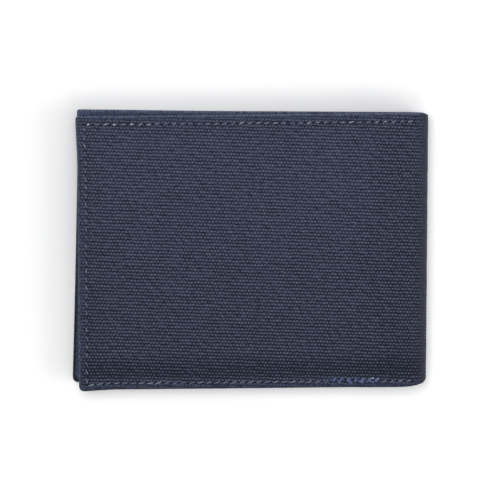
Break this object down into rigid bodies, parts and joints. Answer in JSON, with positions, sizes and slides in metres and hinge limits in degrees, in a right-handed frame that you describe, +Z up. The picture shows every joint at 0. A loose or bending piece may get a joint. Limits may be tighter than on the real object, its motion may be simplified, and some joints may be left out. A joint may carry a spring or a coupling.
{
  "type": "bifold wallet",
  "caption": "Closed bifold wallet of ribbed navy canvas that opens flat about a soft spine, with a bill compartment, stacked card pockets and a clear window inside.",
  "frame": {"origin": "centre of the closed wallet's bounding box, at the bottom, on the surface it lies on", "axes": "+X towards the spine, +Y towards the bill opening, +Z up through the front leaf"},
  "size_m": [0.1148, 0.0902, 0.0124],
  "materials": {
    "navy_canvas": "ribbed plain weave cotton canvas, matt navy",
    "blue_lining": "fine twill lining, dark blue",
    "grey_interlining": "non-woven stiffener, pale grey",
    "grey_blue_thread": "twisted sewing thread, light grey-blue",
    "clear_film": "clear flexible plastic film"
  },
  "bodies": {
    "back_leaf": {"back_cover": "navy_canvas", "back_stiffener": "grey_interlining", "back_bill_lining": "blue_lining", "back_inner_panel": "blue_lining", "back_card_pocket_1": "blue_lining", "back_card_pocket_2": "blue_lining", "back_card_pocket_3": "blue_lining", "back_outer_stitching": "grey_blue_thread", "back_inner_stitching": "grey_blue_thread", "back_pocket_stitching": "grey_blue_thread"},
    "spine": {"spine_cover": "navy_canvas", "spine_interlining": "grey_interlining", "spine_bill_lining": "blue_lining", "spine_inner_lining": "blue_lining"},
    "front_leaf": {"front_cover": "navy_canvas", "front_stiffener": "grey_interlining", "front_bill_lining": "blue_lining", "front_inner_panel": "blue_lining", "front_card_pocket": "blue_lining", "id_window_film": "clear_film", "id_window_frame": "blue_lining", "front_outer_stitching": "grey_blue_thread", "front_inner_stitching": "grey_blue_thread", "front_pocket_stitching": "grey_blue_thread"}
  },
  "joints": [
    {"name": "back_fold", "type": "hinge", "parent": "back_leaf", "child": "spine", "pos_m": [0.05604, 0.00097, 0.00133], "axis": [0, 1, 0], "range_deg": [0, 90]},
    {"name": "front_fold", "type": "hinge", "parent": "spine", "child": "front_leaf", "pos_m": [0.05604, 0.00097, 0.01107], "axis": [0, 1, 0], "range_deg": [0, 90]}
  ],
  "couplings": [
    {"joint": "back_fold", "follows": "front_fold", "ratio": 1}
  ]
}
